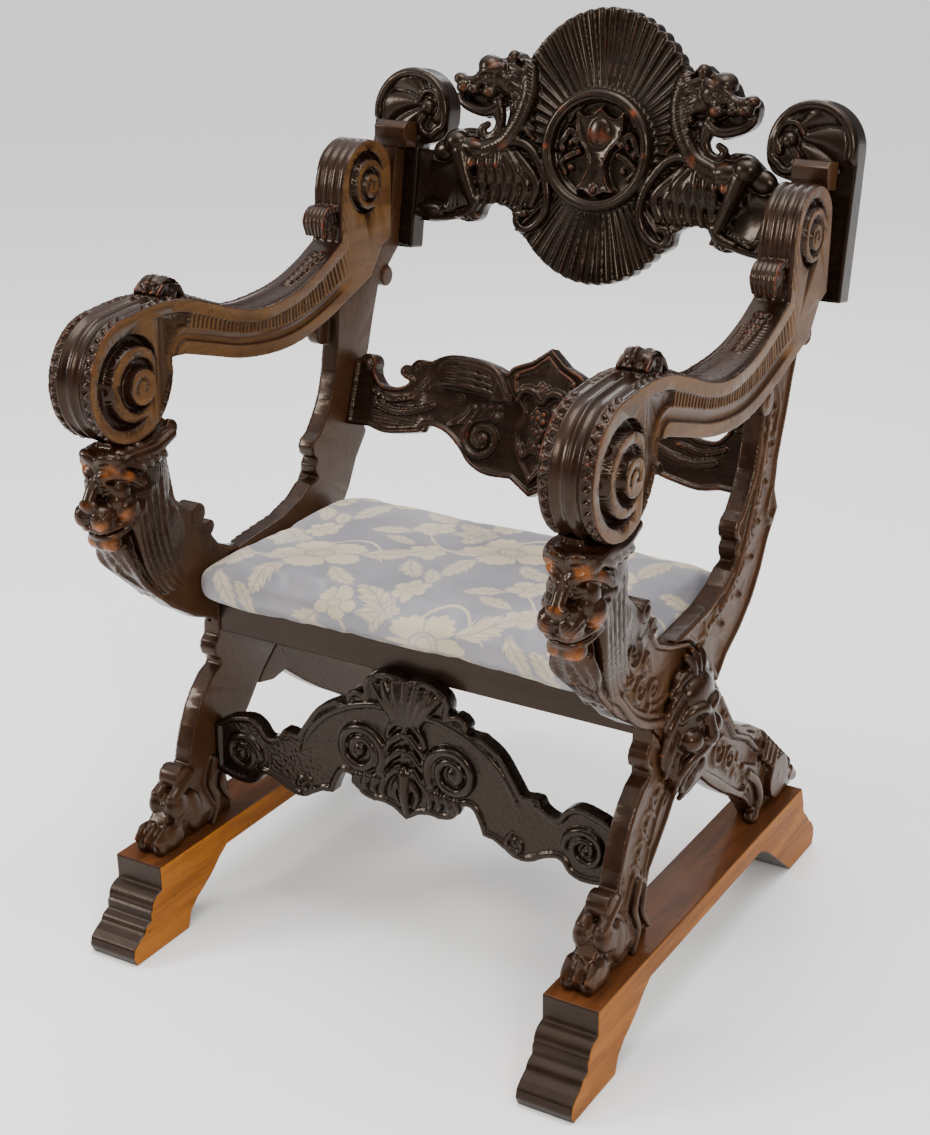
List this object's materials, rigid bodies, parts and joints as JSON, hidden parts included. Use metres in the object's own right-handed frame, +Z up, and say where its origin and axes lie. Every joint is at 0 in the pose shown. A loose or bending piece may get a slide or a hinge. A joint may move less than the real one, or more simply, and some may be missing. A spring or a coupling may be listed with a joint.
{
  "type": "carved throne armchair",
  "caption": "Carved dark walnut throne on sledge runners, with lion-head arms, scrolled back rail and stretcher, a griffin and sunburst cresting and a damask cushion.",
  "frame": {"origin": "middle of the footprint, on the floor plane under the runners", "axes": "+Z up, -Y towards the front of the seat where the sitter faces, +X to the right seen from the front; metres"},
  "size_m": [0.682, 0.7218, 1.0925],
  "materials": {
    "dark_walnut": "dark waxed and polished, reddish wear on raised parts",
    "worn_walnut": "satin waxed, tan-brown where handled",
    "runner_walnut": "satin, orange-brown sides with dark moulded ends",
    "plain_beech": "plain planed, unpolished",
    "damask": "woven damask, blue-grey ground with beige flowers, soft sheen"
  },
  "bodies": {
    "root": {"runner_right": "runner_walnut", "upright_right": "worn_walnut", "arm_support_right": "dark_walnut", "crossing_mask_right": "dark_walnut", "arm_right": "worn_walnut", "crest_post_right": "dark_walnut", "seat_rail_side_right": "plain_beech", "runner_left": "runner_walnut", "upright_left": "worn_walnut", "arm_support_left": "dark_walnut", "crossing_mask_left": "dark_walnut", "arm_left": "worn_walnut", "crest_post_left": "dark_walnut", "seat_rail_side_left": "plain_beech", "crest_panel": "dark_walnut", "back_rail": "dark_walnut", "front_stretcher": "dark_walnut", "seat_rail_front": "dark_walnut", "seat_rail_back": "plain_beech", "seat_cushion": "damask"}
  },
  "joints": []
}
